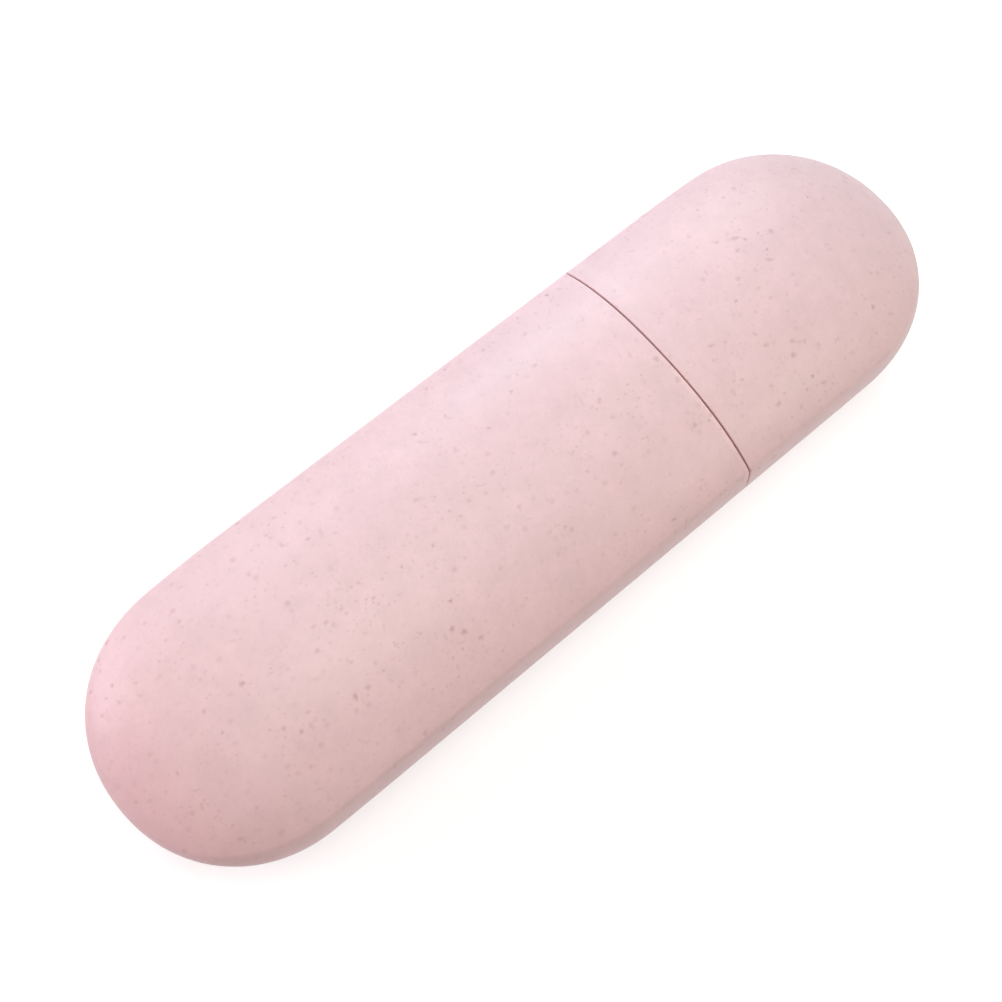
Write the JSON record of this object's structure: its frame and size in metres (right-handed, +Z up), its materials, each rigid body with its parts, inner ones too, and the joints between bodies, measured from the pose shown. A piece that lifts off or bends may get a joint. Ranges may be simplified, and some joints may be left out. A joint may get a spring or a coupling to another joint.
{
  "type": "toothbrush case",
  "caption": "Travel toothbrush case: a flat capsule in two hollow halves, a long body with a stepped neck and a shorter cap that pulls off it along its length.",
  "frame": {"origin": "under the middle of the closed case, on the surface it rests on", "axes": "+X along the case towards the cap, +Y across it, +Z up from the back it rests on to the crowned front"},
  "size_m": [0.205, 0.0584, 0.0307],
  "materials": {
    "body_plastic": "satin moulded plastic with fine plant-fibre specks",
    "cap_plastic": "satin moulded plastic with fine plant-fibre specks"
  },
  "bodies": {
    "body": {"case_body": "body_plastic"},
    "cap": {"case_cap": "cap_plastic"}
  },
  "joints": [
    {"name": "cap_pull", "type": "slide", "parent": "body", "child": "cap", "axis": [1, 0, 0], "range_m": [0, 0.03]}
  ]
}
